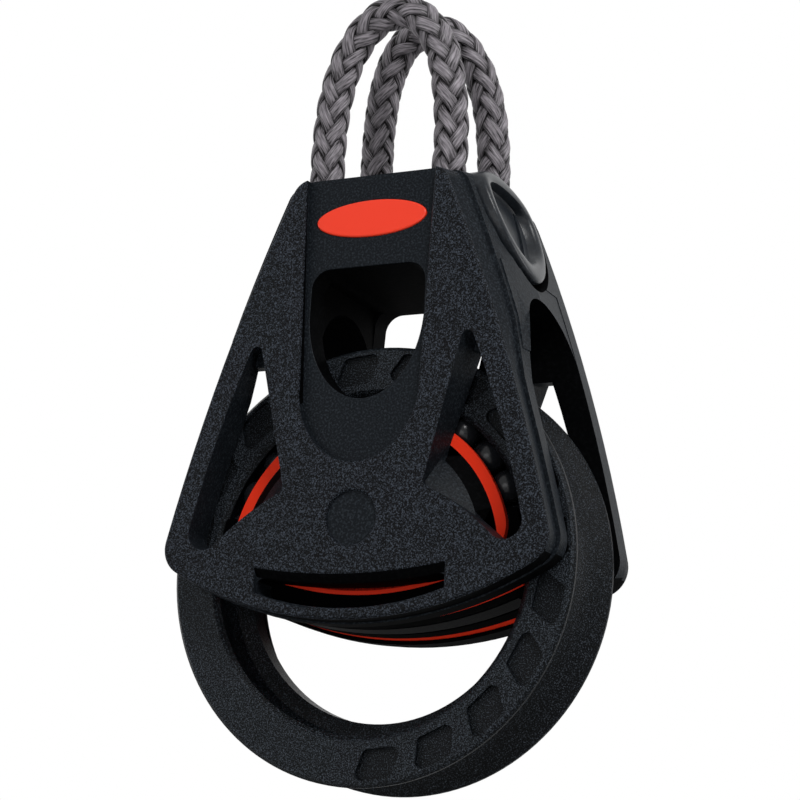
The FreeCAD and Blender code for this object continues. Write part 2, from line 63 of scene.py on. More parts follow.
def aim_camera():
    a, e, r = (math.radians(d) for d in (TURN_DEG, RISE_DEG, TILT_DEG))
    back = Vector((math.sin(a) * math.cos(e), -math.cos(a) * math.cos(e), math.sin(e)))
    right = Vector((math.cos(a), math.sin(a), 0.0))
    up = back.cross(right)
    across = right * math.cos(r) + up * math.sin(r)
    upright = up * math.cos(r) - right * math.sin(r)
    lens = bpy.data.cameras.new("camera")
    lens.lens = LENS
    lens.sensor_width = SENSOR
    lens.clip_start, lens.clip_end = 0.01, 20.0
    camera = bpy.data.objects.new("camera", lens)
    bpy.context.scene.collection.objects.link(camera)
    camera.matrix_world = Matrix.Translation(LOOK_AT + back * DISTANCE) @ Matrix(
        (across, upright, back)).transposed().to_4x4()
    bpy.context.scene.camera = camera


def soft_light(name, place, size, watts):
    lamp = bpy.data.lights.new(name, "AREA")
    lamp.shape = "DISK"
    lamp.size = size
    lamp.energy = watts
    light = bpy.data.objects.new(name, lamp)
    bpy.context.scene.collection.objects.link(light)
    light.location = place
    light.rotation_mode = "QUATERNION"
    light.rotation_quaternion = (Vector(place) - LOOK_AT).to_track_quat("Z", "Y")


def add_node(tree, kind, **settings):
    made = tree.nodes.new(kind)
    for key, value in settings.items():
        setattr(made, key, value)
    return made


def white_surround():
    """White where the camera or a reflection looks, and a softer grey as light."""
    world = bpy.data.worlds.new("surround")
    bpy.context.scene.world = world
    world.use_nodes = True
    tree = world.node_tree
    tree.nodes.clear()
    path = add_node(tree, "ShaderNodeLightPath")
    seen = add_node(tree, "ShaderNodeMath", operation="MAXIMUM")
    seen_all = add_node(tree, "ShaderNodeMath", operation="MAXIMUM")
    tree.links.new(path.outputs["Is Camera Ray"], seen.inputs[0])
    tree.links.new(path.outputs["Is Glossy Ray"], seen.inputs[1])
    tree.links.new(seen.outputs[0], seen_all.inputs[0])
    tree.links.new(path.outputs["Is Transmission Ray"], seen_all.inputs[1])
    dim = add_node(tree, "ShaderNodeBackground")
    dim.inputs["Color"].default_value = (0.9, 0.95, 1.0, 1.0)
    dim.inputs["Strength"].default_value = 0.15
    white = add_node(tree, "ShaderNodeBackground")
    white.inputs["Color"].default_value = (1.0, 1.0, 1.0, 1.0)
    white.inputs["Strength"].default_value = 1.0
    mix = add_node(tree, "ShaderNodeMixShader")
    out = add_node(tree, "ShaderNodeOutputWorld")
    tree.links.new(seen_all.outputs[0], mix.inputs[0])
    tree.links.new(dim.outputs[0], mix.inputs[1])
    tree.links.new(white.outputs[0], mix.inputs[2])
    tree.links.new(mix.outputs[0], out.inputs["Surface"])


FLOOR_Z = -60.0 * MM
FLOOR_SIZE = 2.0


def pale_floor():
    half = FLOOR_SIZE / 2
    sheet = bpy.data.meshes.new("studio_floor")
    sheet.from_pydata([(-half, -half, FLOOR_Z), (half, -half, FLOOR_Z), (half, half, FLOOR_Z),
                       (-half, half, FLOOR_Z)], [], [(0, 1, 2, 3)])
    floor = bpy.data.objects.new("studio_floor", sheet)
    bpy.context.scene.collection.objects.link(floor)
    paint = bpy.data.materials.new("pale_floor")
    paint.use_nodes = True
    shader = paint.node_tree.nodes["Principled BSDF"]
    shader.inputs["Base Color"].default_value = (0.82, 0.82, 0.81, 1.0)
    shader.inputs["Roughness"].default_value = 0.85
    sheet.materials.append(paint)


aim_camera()
white_surround()
pale_floor()
soft_light("key_light", (0.24, -0.26, 0.30), 0.16, 1.35)
soft_light("left_light", (-0.32, -0.22, 0.10), 0.25, 0.25)
soft_light("low_light", (0.05, -0.30, -0.02), 0.20, 0.20)
soft_light("rim_light", (0.35, 0.12, 0.10), 0.20, 0.50)
bpy.context.scene.view_settings.view_transform = "Standard"


# The rope loops.
# One endless rope, 3 mm thick, turns under each saddle and stands up as two loops above the head.
# It is a hollow braid of twelve full strands, six wound each way and each over two and under two,
# of coated grey fibre, with its ends buried in the braid inside the head.

LOOP_X = 6.15
LOOP_Y = 5.05
FRONT_ROUTE = [
    (-LOOP_X, 0.0, 29.15),
    (-LOOP_X, -2.9, 29.15),
    (-LOOP_X, -4.95, 31.3),
    (-6.3, -LOOP_Y, 35.0),
    (-6.5, -5.0, 40.2),
    (-6.0, -5.1, 45.4),
    (-4.65, -5.0, 49.8),
    (-1.9, -5.1, 52.95),
    (2.0, -5.1, 53.05),
    (4.75, -5.0, 49.6),
    (5.95, -5.1, 45.2),
    (6.45, -5.0, 40.0),
    (6.25, -LOOP_Y, 35.0),
    (LOOP_X, -4.95, 31.3),
    (LOOP_X, -2.9, 29.15),
    (LOOP_X, 0.0, 29.15),
]
REAR_ROUTE = [
    (-LOOP_X, 0.0, 29.15),
    (-LOOP_X, 2.9, 29.15),
    (-LOOP_X, 4.95, 31.3),
    (-6.3, 5.1, 35.2),
    (-6.4, 5.0, 40.8),
    (-6.0, 4.3, 46.0),
    (-4.8, 3.3, 50.6),
    (-1.95, 2.0, 53.9),
    (1.95, 2.0, 54.0),
    (4.75, 3.3, 50.5),
    (6.0, 4.3, 45.8),
    (6.35, 5.0, 40.6),
    (6.25, 5.1, 35.2),
    (LOOP_X, 4.95, 31.3),
    (LOOP_X, 2.9, 29.15),
    (LOOP_X, 0.0, 29.15),
]

STRANDS_EACH_WAY = 6
CROSSINGS_PER_WAVE = 4
LAY_LENGTH = 15.2
STRAND_HALF_WIDTH = 0.64
STRAND_HALF_THICK = 0.34
STRAND_RISE = 0.25
BRAID_OUTER_R = 1.66
STRAND_STEP = 0.22
STRAND_SIDES = 12
STRAND_ROUNDNESS = 0.8
WAVE_ROUNDNESS = 0.75
WAVER = 0.045
THICKNESS_SPREAD = 0.07
THICKNESS_SEED = 12
YARN_OFFSET = 7.3


def rope_line(name, route):
    """Points close together along the smooth curve that the route's points steer."""
    curve = bpy.data.curves.new(name, "CURVE")
    curve.dimensions = "3D"
    curve.resolution_u = 20
    spline = curve.splines.new("NURBS")
    spline.points.add(len(route) - 1)
    for point, (x, y, z) in zip(spline.points, route):
        point.co = (x * MM, y * MM, z * MM, 1.0)
    spline.order_u = 3
    spline.use_endpoint_u = True
    holder = bpy.data.objects.new(name, curve)
    bpy.context.scene.collection.objects.link(holder)
    bpy.context.view_layer.update()
    traced = bpy.data.meshes.new_from_object(holder.evaluated_get(bpy.context.evaluated_depsgraph_get()))
    points = np.array([v.co for v in traced.vertices])
    bpy.data.objects.remove(holder)
    bpy.data.meshes.remove(traced)
    return points


def even_steps(points, step):
    """The same line with its points evenly spaced."""
    run = np.concatenate([[0.0], np.cumsum(np.linalg.norm(np.diff(points, axis=0), axis=1))])
    places = np.linspace(0.0, run[-1], max(2, int(round(run[-1] / step))) + 1)
    return np.stack([np.interp(places, run, points[:, i]) for i in range(3)], axis=1), places


def unit(vectors):
    return vectors / np.linalg.norm(vectors, axis=-1, keepdims=True)


def side_directions(line):
    """Two directions square to the line at each point, carried along it without twist."""
    ahead = unit(np.gradient(line, axis=0))
    first = np.cross(ahead[0], (0.0, 0.0, 1.0))
    if np.linalg.norm(first) < 0.1:
        first = np.cross(ahead[0], (0.0, 1.0, 0.0))
    sides = [unit(first)]
    for direction in ahead[1:]:
        carried = sides[-1] - direction * np.dot(sides[-1], direction)
        sides.append(unit(carried))
    sides = np.array(sides)
    return sides, np.cross(ahead, sides)


def worked_out(tree, kind, first, second=0.0):
    """One step of arithmetic on sockets or plain numbers."""
    made = add_node(tree, "ShaderNodeMath", operation=kind)
    for socket, value in zip(made.inputs, (first, second)):
        if isinstance(value, (int, float)):
            socket.default_value = value
        else:
            tree.links.new(value, socket)
    return made.outputs[0]


def rope_fibre():
    """Coated grey fibre with fine yarns along each strand, and painted shade where strands dip under
    each other.
    """
    paint = bpy.data.materials.new("rope_fibre")
    paint.use_nodes = True
    tree = paint.node_tree
    shader = tree.nodes["Principled BSDF"]
    where = add_node(tree, "ShaderNodeUVMap", uv_map="along_strand")
    fine = add_node(tree, "ShaderNodeMapping")
    fine.inputs["Scale"].default_value = (0.9, 26.0, 1.0)
    yarns = add_node(tree, "ShaderNodeTexNoise")
    yarns.inputs["Scale"].default_value = 1.0
    yarns.inputs["Detail"].default_value = 3.0
    tree.links.new(where.outputs["UV"], fine.inputs["Vector"])
    tree.links.new(fine.outputs["Vector"], yarns.inputs["Vector"])
    # The crest value paints light and shade: lighter on each strand's outer crest, darker where it dips
    # and on its sides.
    crest_shading = add_node(tree, "ShaderNodeAttribute", attribute_name="crest_shading")
    streaks = worked_out(tree, "SUBTRACT", worked_out(tree, "MULTIPLY", yarns.outputs["Fac"], 1.8), 0.75)
    tone = worked_out(tree, "ADD", streaks, worked_out(tree, "MULTIPLY", crest_shading.outputs["Fac"], 0.55))
    shade = add_node(tree, "ShaderNodeValToRGB")
    shade.color_ramp.elements[0].position = 0.25
    shade.color_ramp.elements[0].color = (0.003, 0.0025, 0.003, 1.0)
    shade.color_ramp.elements[1].position = 0.95
    shade.color_ramp.elements[1].color = (0.30, 0.275, 0.30, 1.0)
    tree.links.new(tone, shade.inputs["Fac"])
    tree.links.new(shade.outputs["Color"], shader.inputs["Base Color"])
    groove = add_node(tree, "ShaderNodeBump")
    groove.inputs["Strength"].default_value = 0.8
    groove.inputs["Distance"].default_value = 0.05 * MM
    tree.links.new(yarns.outputs["Fac"], groove.inputs["Height"])
    tree.links.new(groove.outputs["Normal"], shader.inputs["Normal"])
    shader.inputs["Roughness"].default_value = 0.42
    shader.inputs["Specular IOR Level"].default_value = 0.2
    return paint


def braided_rope(name, route, start_turn):
    """A rope of interlaced strands along the route. Returns its object and its centre line."""
    line, run = even_steps(rope_line(name + "_line", route), STRAND_STEP * MM)
    right, up = side_directions(line)
    centre_r = (BRAID_OUTER_R - STRAND_RISE - STRAND_HALF_THICK) * MM
    crossing = run / (LAY_LENGTH * MM) * 2 * STRANDS_EACH_WAY
    corners, faces, uvs, crest_shading_values = [], [], [], []
    shape = np.linspace(0.0, 2 * math.pi, STRAND_SIDES, endpoint=False)
    across = np.sign(np.cos(shape)) * np.abs(np.cos(shape)) ** STRAND_ROUNDNESS * STRAND_HALF_WIDTH * MM
    out = np.sign(np.sin(shape)) * np.abs(np.sin(shape)) ** STRAND_ROUNDNESS * STRAND_HALF_THICK * MM
    chance = np.random.default_rng(THICKNESS_SEED)
    for way in (1, -1):
        for number in range(STRANDS_EACH_WAY):
            waver = WAVER * np.sin(run / MM * (0.55 + 0.2 * number) + 2.1 * number + way)
            angle = way * 2 * math.pi * run / (LAY_LENGTH * MM) + 2 * math.pi * number / STRANDS_EACH_WAY
            # Neighbouring strands come up two crossings apart, which gives columns of chevrons.
            beat = crossing + 2 * number - 0.5 if way > 0 else 2 * number - crossing - 2.5
            wave = np.cos(2 * math.pi * beat / CROSSINGS_PER_WAVE)
            lift = STRAND_RISE * MM * np.sign(wave) * np.abs(wave) ** WAVE_ROUNDNESS
            angle = angle + start_turn + waver
            radial = right * np.cos(angle)[:, None] + up * np.sin(angle)[:, None]
            path = line + radial * (centre_r + lift)[:, None]
            ahead = unit(np.gradient(path, axis=0))
            wide = unit(np.cross(radial, ahead))
            thick = np.cross(ahead, wide)
            size = 1.0 + THICKNESS_SPREAD * chance.standard_normal()
            first = len(corners)
            for i in range(len(path)):
                ring = path[i] + wide[i] * (across * size)[:, None] + thick[i] * out[:, None]
                corners.extend(ring)
                # Painted light and shade: the outer face is lit on the crest and shaded where the strand
                # dips; the inner face is shaded.
                crest_shading_values.extend((0.5 + 0.5 * wave[i]) * np.clip(np.sin(shape), 0.0, 1.0))
            for i in range(len(path) - 1):
                for j in range(STRAND_SIDES):
                    k = (j + 1) % STRAND_SIDES
                    a, b = first + i * STRAND_SIDES, first + (i + 1) * STRAND_SIDES
                    faces.append((a + j, a + k, b + k, b + j))
                    shift = YARN_OFFSET * number
                    u0, u1 = run[i] / MM + shift, run[i + 1] / MM + shift
                    v0, v1 = j / STRAND_SIDES + number, (j + 1) / STRAND_SIDES + number
                    uvs.extend([(u0, v0), (u0, v1), (u1, v1), (u1, v0)])
            last = first + (len(path) - 1) * STRAND_SIDES
            faces.append(tuple(range(first, first + STRAND_SIDES))[::-1])
            faces.append(tuple(range(last, last + STRAND_SIDES)))
            uvs.extend([(0.0, 0.0)] * (2 * STRAND_SIDES))
    mesh = bpy.data.meshes.new(name)
    mesh.from_pydata([tuple(c) for c in corners], [], faces)
    layer = mesh.uv_layers.new(name="along_strand")
    layer.data.foreach_set("uv", np.array(uvs, dtype=np.float32).ravel())
    height = mesh.attributes.new("crest_shading", "FLOAT", "POINT")
    height.data.foreach_set("value", np.array(crest_shading_values, dtype=np.float32))
    mesh.polygons.foreach_set("use_smooth", [True] * len(mesh.polygons))
    mesh.update()
    rope = bpy.data.objects.new(name, mesh)
    bpy.context.scene.collection.objects.link(rope)
    return rope, line


fibre = rope_fibre()
for route, name, stands_for, start_turn, length in (
        (FRONT_ROUTE, "front_braid", "front_loop", 0.2, 60.4),
        (REAR_ROUTE, "rear_braid", "rear_loop", 0.75, 62.4)):
    rope, line = braided_rope(name, route, start_turn)
    rope.data.materials.append(fibre)
    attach(rope, "frame")
    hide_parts(stands_for)


# The cheeks.
# Two moulded halves of glass-filled black plastic, spark-textured outside and smooth in their recesses.
# They carry the bearing between them and meet at the head, where two pins hold them together. The rear
# one is wider, and the head flares out to it over the line's round-roofed way.

FACE_Y = 8.7
SEAT_Y = 5.3
SOLID_INNER_Y = 6.2
INSIDE_Y = 6.3
SIDE_HEIGHTS = (3.0, 18.6, 33.4)
FRONT_HALF_WIDTHS = (18.7, 14.1, 8.4)
REAR_EXTRAS = (0.9, 1.43, 1.8)
LIP_OUT = 0.35
HEAD_FROM_Z, HEAD_TO_Z = 24.0, 27.0
LIMB_BAND, LIMB_FADE = 2.9, 5.0
HEAD_BAND, HEAD_FADE = 0.35, 0.3
FLARE_FROM_Z, FLARE_RISE = 14.0, 8.0
WAY_Z, WAY_R, WAY_FOOT_Z, WAY_TOP_Z = 19.4, 5.3, 18.4, 26.9
WAY_OUTER_Y = 6.5
EYE_HALF, EYE_LOW_Z, EYE_HIGH_Z = 5.9, 14.3, 27.3
LEAF_MIDDLE = np.array((0.0, 31.6))
LEAF_SIDE = ((0.0, 26.3), (4.3, 29.2), (5.6, 33.6))
LEAF_TOP_Z, LEAF_TOP_R = 37.2, 10.0
LEAF_GAP = 0.8
LEAF_INNER_X = 8.1
LEAF_POINTS = 72
LEAF_CORNERS = 20.0
LEAF_RECESS_DEPTH = 8.0
NEAR = 0.05
SHEAVE_CLEARANCE = 0.02
ROOF_INSET = 0.02
HAIRLINE, SLIVER, CRACK_SIDES = 0.003, 0.001, 12
FACE_SKIN, EYE_WALL, SIDE_WALL = 0.3, 0.3, 0.5
TOP_FROM_Z = 35.0
SHARP_DEG = 32


def textured_black(name, grain, depth, pit_shade, peak_glint, rough, gloss, raised_y=0.0, sunk_shade=0.0):
    """Black moulded plastic with a spark-eroded grain. Its colour is painted light:
    painted glints on the grain's peaks and painted shade in its pits. Nearer to the middle
    than raised_y, where it lies sunk between raised faces, painted shade darkens it further."""
    paint = bpy.data.materials.new(name)
    paint.use_nodes = True
    tree = paint.node_tree
    shader = tree.nodes["Principled BSDF"]
    where = add_node(tree, "ShaderNodeTexCoord")
    scale = add_node(tree, "ShaderNodeMapping")
    scale.inputs["Scale"].default_value = (1 / MM, 1 / MM, 1 / MM)
    tree.links.new(where.outputs["Object"], scale.inputs["Vector"])
    pits = add_node(tree, "ShaderNodeTexNoise")
    pits.inputs["Scale"].default_value = 1 / grain
    pits.inputs["Detail"].default_value = 2.0
    pits.inputs["Roughness"].default_value = 0.6
    tree.links.new(scale.outputs["Vector"], pits.inputs["Vector"])
    bump = add_node(tree, "ShaderNodeBump")
    bump.inputs["Strength"].default_value = 1.0
    bump.inputs["Distance"].default_value = depth * MM
    tree.links.new(pits.outputs["Fac"], bump.inputs["Height"])
    tree.links.new(bump.outputs["Normal"], shader.inputs["Normal"])
    # The ramp paints light into the colour: glints on the grain's peaks and shade in its pits.
    shade = add_node(tree, "ShaderNodeValToRGB")
    shade.color_ramp.elements[0].position = 0.48
    shade.color_ramp.elements[0].color = (*pit_shade, 1.0)
    shade.color_ramp.elements[1].position = 0.70
    shade.color_ramp.elements[1].color = (*peak_glint, 1.0)
    tone = pits.outputs["Fac"]
    # Painted shade: nearer the middle than raised_y, the tone is lowered for the sunk part.
    if raised_y:
        split = add_node(tree, "ShaderNodeSeparateXYZ")
        tree.links.new(scale.outputs["Vector"], split.inputs[0])
        sunk = worked_out(tree, "LESS_THAN", worked_out(tree, "ABSOLUTE", split.outputs["Y"]), raised_y)
        tone = worked_out(tree, "SUBTRACT", tone, worked_out(tree, "MULTIPLY", sunk, sunk_shade))
    tree.links.new(tone, shade.inputs["Fac"])
    tree.links.new(shade.outputs["Color"], shader.inputs["Base Color"])
    shader.inputs["Roughness"].default_value = rough
    shader.inputs["Specular IOR Level"].default_value = gloss
    return paint


def dress(name, paint):
    """Gives a solid that keeps its shape its finish."""
    piece = node[name]
    piece.data.materials.clear()
    piece.data.materials.append(paint)


def ease(value):
    """A smooth rise from 0 to 1."""
    value = np.clip(value, 0.0, 1.0)
    return value * value * (3.0 - 2.0 * value)


def front_half(z):
    """Half width of the front cheek's face at a height."""
    return np.polyval(np.polyfit(SIDE_HEIGHTS, FRONT_HALF_WIDTHS, 2), z)


def rear_extra(z):
    """How much wider the rear cheek is on each side at a height."""
    return np.polyval(np.polyfit(SIDE_HEIGHTS, REAR_EXTRAS, 2), z)


def edge_growth(y, z, rear):
    """How far the outer edge stands past the solid's. The front cheek flares out to meet the rear."""
    if rear:
        return rear_extra(z)
    inward = ease((FACE_Y - abs(y)) / (FACE_Y - SEAT_Y))
    upward = ease((z - FLARE_FROM_Z) / FLARE_RISE)
    return rear_extra(z) * inward * upward


def spread_outward(form, rear):
    """Moves the outer limbs out by the edge's growth, and eases it off towards the middle."""
    for corner in form.verts:
        x, y, z = corner.co / MM
        head = ease((z - HEAD_FROM_Z) / (HEAD_TO_Z - HEAD_FROM_Z))
        band = LIMB_BAND + (HEAD_BAND - LIMB_BAND) * head
        fade = LIMB_FADE + (HEAD_FADE - LIMB_FADE) * head
        share = ease((abs(x) - front_half(z) + band + fade) / fade)
        corner.co.x += math.copysign(share * edge_growth(y, z, rear) * MM, x)


def thicken_inward(form):
    """The inner face below the head comes in to the seat's, just clear of the sheave."""
    for corner in form.verts:
        depth = abs(corner.co.y) / MM
        if SEAT_Y - NEAR < depth < SOLID_INNER_Y + NEAR and corner.co.z < WAY_TOP_Z * MM:
            corner.co.y = math.copysign((SEAT_Y + SHEAVE_CLEARANCE) * MM, corner.co.y)
    bmesh.ops.remove_doubles(form, verts=form.verts, dist=HAIRLINE * MM)


def prism(rings):
    """A closed form from rings of points, each joined to the next."""
    form = bmesh.new()
    made = [[form.verts.new(Vector(p) * MM) for p in ring] for ring in rings]
    for low, high in zip(made, made[1:]):
        for i in range(len(low)):
            k = (i + 1) % len(low)
            form.faces.new((low[i], low[k], high[k], high[i]))
    form.faces.new(made[0][::-1])
    form.faces.new(made[-1])
    bmesh.ops.recalc_face_normals(form, faces=form.faces)
    return form


def placed(name, form):
    """The form as an object of its own."""
    mesh = bpy.data.meshes.new(name)
    form.to_mesh(mesh)
    form.free()
    piece = bpy.data.objects.new(name, mesh)
    bpy.context.scene.collection.objects.link(piece)
    return piece


def carved(form, tool, kind, tolerant):
    """The form joined with the tool, or cut by it. Tolerant is for a form with hairline cracks."""
    body, cutter = placed("blank", form), placed("cutter", tool)
    step = body.modifiers.new("carve", "BOOLEAN")
    step.operation, step.solver, step.object = kind, "EXACT", cutter
    step.use_hole_tolerant = tolerant
    bpy.context.view_layer.update()
    mesh = bpy.data.meshes.new_from_object(body.evaluated_get(bpy.context.evaluated_depsgraph_get()))
    for used in (body, cutter):
        bpy.data.objects.remove(used)
    result = bmesh.new()
    result.from_mesh(mesh)
    return result


def way_roof(side, rear):
    """The stretch of the head over the line's way, left or right of the eye."""
    turns = np.linspace(0.0, math.pi / 2, 19)
    arch = [(WAY_R * math.sin(a), WAY_Z + WAY_R * math.cos(a)) for a in turns]
    section = arch + [(WAY_R, WAY_FOOT_Z)]
    section += [(WAY_OUTER_Y, z) for z in np.linspace(WAY_FOOT_Z, WAY_TOP_Z, 9)]
    section += [(y, WAY_TOP_Z) for y in (4.5, 3.0, 1.5, 0.0)]
    depth = 1 if rear else -1
    inner = [(side * EYE_HALF, depth * y, z) for y, z in section]
    outer = [(side * (front_half(z) + LIP_OUT - ROOF_INSET + edge_growth(y, z, rear)), depth * y, z)
             for y, z in section]
    return prism([inner, outer])


def disc_through(points):
    """Centre and radius of the circle through three points."""
    (ax, ay), (bx, by), (cx, cy) = points
    rows = np.array(((bx - ax, by - ay), (cx - ax, cy - ay))) * 2
    sums = (bx**2 + by**2 - ax**2 - ay**2, cx**2 + cy**2 - ax**2 - ay**2)
    centre = np.linalg.solve(rows, sums)
    return centre, float(np.hypot(*(centre - points[0])))


def leaf_outline(grow):
    """The leaf's edge in Y and Z, between its two sides and its top, grown by a gap."""
    centre, radius = disc_through(LEAF_SIDE)
    top = np.array((0.0, LEAF_TOP_Z - LEAF_TOP_R))
    discs = ((centre, radius), (centre * (-1, 1), radius), (top, LEAF_TOP_R))
    angle = np.linspace(0.0, 2 * math.pi, LEAF_POINTS, endpoint=False)
    ray = np.stack([np.cos(angle), np.sin(angle)], axis=1)
    total = 0.0
    for middle, reach in discs:
        off = LEAF_MIDDLE - middle
        along = ray @ off
        total = total + (np.sqrt((reach + grow) ** 2 - off @ off + along**2) - along) ** -LEAF_CORNERS
    return LEAF_MIDDLE + ray * (total ** (-1 / LEAF_CORNERS))[:, None]


def leaf_recess(side):
    """The tool that cuts a leaf cap's recess into the head."""
    edge = leaf_outline(LEAF_GAP)
    ends = (LEAF_INNER_X, LEAF_INNER_X + LEAF_RECESS_DEPTH)
    return prism([[(side * x, y, z) for y, z in edge] for x in ends])


def finish_or_shade_for(centre, facing, depths):
    """0 for the spark-textured faces, 1 for smooth walls and recesses, and 2, a darker copy that
    paints shade, for the unlit inside, the eye's walls and the undersides.
    """
    x, z = abs(centre.x) / MM, centre.z / MM
    on_face = min(depths) > FACE_Y - FACE_SKIN
    on_top = z > TOP_FROM_Z and facing.z > 0.5
    in_eye = x < EYE_HALF + EYE_WALL and EYE_LOW_Z < z < EYE_HIGH_Z and abs(facing.y) < 0.7
    under = z < 0.0 and facing.z < -0.5
    on_side = x > front_half(z) - SIDE_WALL and abs(facing.x) > 0.4
    if on_face or on_top:
        return 0
    if in_eye or under:
        return 2
    return 1 if on_side or max(depths) >= INSIDE_Y else 2


def cheek(name, source, rear, paints):
    """A copy of the solid, closed, widened, thickened and carved, with a finish or painted shade for
    each face.
    """
    form = bmesh.new()
    form.from_mesh(node[source].data)
    bmesh.ops.remove_doubles(form, verts=form.verts, dist=HAIRLINE * MM)
    bmesh.ops.dissolve_degenerate(form, dist=SLIVER * MM, edges=form.edges)
    cracks = [e for e in form.edges if len(e.link_faces) == 1]
    bmesh.ops.holes_fill(form, edges=cracks, sides=CRACK_SIDES)
    spread_outward(form, rear)
    thicken_inward(form)
    for side in (1, -1):
        form = carved(form, way_roof(side, rear), "UNION", rear)
    for side in (1, -1):
        form = carved(form, leaf_recess(side), "DIFFERENCE", rear)
    plain = bpy.data.meshes.new(name)
    corners = [v.co[:] for v in form.verts]
    plain.from_pydata(corners, [], [[v.index for v in f.verts] for f in form.faces])
    form.free()
    for paint in paints:
        plain.materials.append(paint)
    for face in plain.polygons:
        depths = [abs(plain.vertices[i].co.y) / MM for i in face.vertices]
        face.material_index = finish_or_shade_for(face.center, face.normal, depths)
        face.use_smooth = True
    plain.set_sharp_from_angle(angle=math.radians(SHARP_DEG))
    piece = bpy.data.objects.new(name, plain)
    bpy.context.scene.collection.objects.link(piece)
    piece.modifiers.new("even_shading", "WEIGHTED_NORMAL").keep_sharp = True
    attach(piece, "frame")
    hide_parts(source)


# The third paint is a darker copy of the black that paints the shade on the inside, the eye's walls and
# the undersides.
cheek_paints = (
    textured_black("cheek_grained", grain=0.12, depth=0.09, pit_shade=(0.0012, 0.0015, 0.002),
                   peak_glint=(0.056, 0.067, 0.086), rough=0.36, gloss=0.06),
    textured_black("cheek_satin", grain=0.20, depth=0.030, pit_shade=(0.0055, 0.007, 0.009),
                   peak_glint=(0.022, 0.027, 0.033), rough=0.40, gloss=0.05),
    textured_black("cheek_inside_shade", grain=0.4, depth=0.02, pit_shade=(0.0006, 0.0007, 0.0009),
                   peak_glint=(0.002, 0.0022, 0.0026), rough=0.7, gloss=0.02))
cheek("front_side_plate", "front_cheek", False, cheek_paints)
cheek("rear_side_plate", "rear_cheek", True, cheek_paints)


# The badge.
# A plain oval inlay of glossy red plastic, pressed into the front cheek's scoop.

def gloss_plastic(name, colour, rough, gloss):
    """Smooth plastic of one colour."""
    paint = bpy.data.materials.new(name)
    paint.use_nodes = True
    shader = paint.node_tree.nodes["Principled BSDF"]
    shader.inputs["Base Color"].default_value = (*colour, 1.0)
    shader.inputs["Roughness"].default_value = rough
    shader.inputs["Specular IOR Level"].default_value = gloss
    return paint


dress("badge", gloss_plastic("badge_red", colour=(0.84, 0.040, 0.012), rough=0.20, gloss=0.3))


# The bearing.
# Two rows of plastic balls run round D-shaped races and back through smile-shaped guides, on a black
# core that the cheeks clamp. Only the outermost band of each, which keeps the balls in, is red; the rest
# is painted near-black, as the shade deep inside the bearing.

RACE_RED_Y = 4.72
GUIDE_RED_Y = 3.9
RACE_RED_WIDTH = 0.65
GUIDE_ARC_Z, GUIDE_RED_FROM_R = 30.3, 35.1
LIP_HALF_X = 9.3
LIP_CENTRE_Z = 25.55
LIP_INNER_R, LIP_OUTER_R = 27.0, 28.7
LIP_STEPS = 41
LIP_ROUNDING = 0.12


def banded_red(name, red, shade_colour, rough, gloss, from_y, arc_z, from_r):
    """Red on its outermost band, past a depth and a distance from an arc's centre; elsewhere painted
    shade.
    """
    paint = gloss_plastic(name, red, rough, gloss)
    tree = paint.node_tree
    shader = tree.nodes["Principled BSDF"]
    where = add_node(tree, "ShaderNodeTexCoord")
    split = add_node(tree, "ShaderNodeSeparateXYZ")
    tree.links.new(where.outputs["Object"], split.inputs[0])
    depth = worked_out(tree, "ABSOLUTE", split.outputs["Y"])
    drop = worked_out(tree, "SUBTRACT", split.outputs["Z"], arc_z * MM)
    drop_squared = worked_out(tree, "MULTIPLY", drop, drop)
    side_squared = worked_out(tree, "MULTIPLY", split.outputs["X"], split.outputs["X"])
    reach = worked_out(tree, "SQRT", worked_out(tree, "ADD", drop_squared, side_squared))
    deep = worked_out(tree, "GREATER_THAN", depth, from_y * MM)
    far = worked_out(tree, "GREATER_THAN", reach, from_r * MM)
    outside = worked_out(tree, "MULTIPLY", deep, far)
    bands = add_node(tree, "ShaderNodeValToRGB")
    bands.color_ramp.elements[0].color = (*shade_colour, 1.0)
    bands.color_ramp.elements[1].color = (*red, 1.0)
    tree.links.new(outside, bands.inputs["Fac"])
    tree.links.new(bands.outputs["Color"], shader.inputs["Base Color"])
    return paint


def race_lip(name, side, paint):
    """The lip along the race's straight side, which shows in the cheek's slot."""
    reach = math.asin(LIP_HALF_X / LIP_OUTER_R)
    swings = np.linspace(-reach, reach, LIP_STEPS)
    edge = [(LIP_OUTER_R * math.sin(a), LIP_CENTRE_Z - LIP_OUTER_R * math.cos(a)) for a in swings]
    edge += [(LIP_INNER_R * math.sin(a), LIP_CENTRE_Z - LIP_INNER_R * math.cos(a)) for a in swings[::-1]]
    lip = placed(name, prism([[(x, side * y, z) for x, z in edge] for y in (RACE_RED_Y, SEAT_Y)]))
    lip.data.materials.append(paint)
    bevel = lip.modifiers.new("rounded_edges", "BEVEL")
    bevel.width, bevel.segments = LIP_ROUNDING * MM, 2
    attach(lip, "frame")


